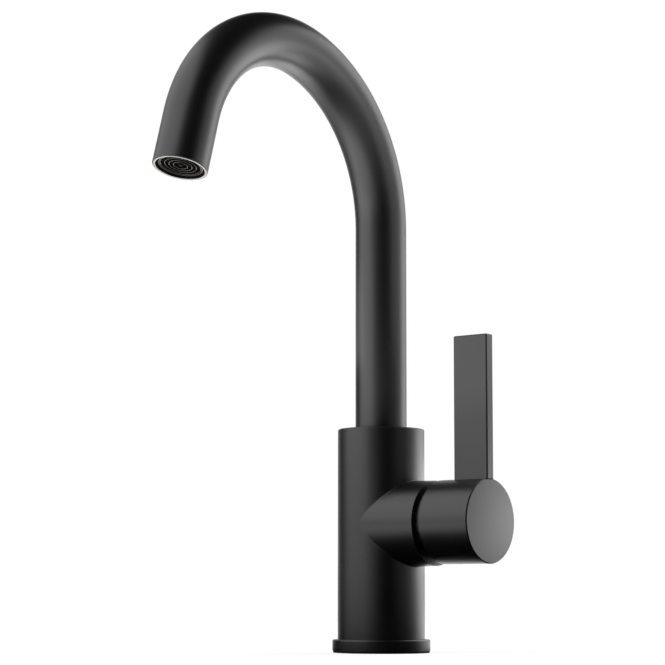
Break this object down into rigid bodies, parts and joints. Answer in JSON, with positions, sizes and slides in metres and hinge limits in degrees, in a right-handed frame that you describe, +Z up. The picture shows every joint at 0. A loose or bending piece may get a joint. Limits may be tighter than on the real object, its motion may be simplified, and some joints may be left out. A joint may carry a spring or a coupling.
{
  "type": "basin mixer tap",
  "caption": "Tall single-lever basin mixer tap with a swivelling bent-tube spout, a side barrel with a ceramic cartridge, and a flat upright lever blade.",
  "frame": {"origin": "centre of the gasket's underside, which stands on the basin, on the axis of the column", "axes": "+Z up along the column, +X along the lever axis from the column to the lever, spout towards -Y"},
  "size_m": [0.098, 0.2023, 0.3333],
  "materials": {
    "matte_black_body": "matte",
    "matte_black_base": "matte",
    "matte_black_hub": "matte",
    "matte_black_blade": "matte",
    "matte_black_spout": "matte",
    "black_neck": "matte",
    "black_rubber": "soft matte",
    "dark_steel": "plain steel",
    "sieve_steel": "etched steel",
    "turned_brass": "turned brass",
    "ceramic": "satin",
    "white_glide_plastic": "moulded",
    "black_glide_plastic": "moulded",
    "grey_cartridge_plastic": "moulded",
    "blue_driver_plastic": "moulded",
    "green_regulator_plastic": "moulded",
    "black_aerator_plastic": "moulded"
  },
  "bodies": {
    "mixer": {"mixer_body": "matte_black_body", "base_ring": "matte_black_base", "base_gasket": "black_rubber", "retaining_screw": "dark_steel", "lower_glide_ring": "white_glide_plastic", "mouth_glide_ring": "black_glide_plastic", "port_seals": "black_rubber", "cartridge_base": "white_glide_plastic", "disc_seals": "black_rubber", "fixed_disc": "ceramic", "cartridge_housing": "grey_cartridge_plastic", "cartridge_nut": "turned_brass", "neck_ring": "black_neck"},
    "spout": {"spout_tube": "matte_black_spout", "spout_spigot": "turned_brass", "spigot_o_rings": "black_rubber", "outlet_bush": "turned_brass", "aerator_gasket": "black_rubber", "flow_regulator": "green_regulator_plastic", "aerator_sieve": "sieve_steel", "aerator_rings": "black_aerator_plastic", "aerator_housing": "black_aerator_plastic"},
    "rotor": {"cartridge_rotor": "white_glide_plastic", "pivot_pin": "dark_steel"},
    "lever": {"lever_stem": "turned_brass", "lever_hub": "matte_black_hub", "lever_blade": "matte_black_blade", "hub_screw": "dark_steel", "hub_screw_plug": "black_glide_plastic"},
    "disc": {"moving_disc": "ceramic", "disc_driver": "blue_driver_plastic"}
  },
  "joints": [
    {"name": "spout_swivel", "type": "hinge", "parent": "mixer", "child": "spout", "pos_m": [0, 0, 0.1], "axis": [0, 0, 1], "range_deg": [-60, 60]},
    {"name": "lever_turn", "type": "hinge", "parent": "mixer", "child": "rotor", "pos_m": [0.02752, 0, 0.0692], "axis": [1, 0, 0], "range_deg": [-45, 45]},
    {"name": "lever_lift", "type": "hinge", "parent": "rotor", "child": "lever", "pos_m": [0.02752, 0, 0.0692], "axis": [0, 1, 0], "range_deg": [0, 11]},
    {"name": "disc_slide", "type": "slide", "parent": "rotor", "child": "disc", "axis": [0, 0, 1], "range_m": [0, 0.0018]}
  ],
  "couplings": [
    {"joint": "disc_slide", "follows": "lever_lift", "m_per_rad": 0.0092}
  ]
}
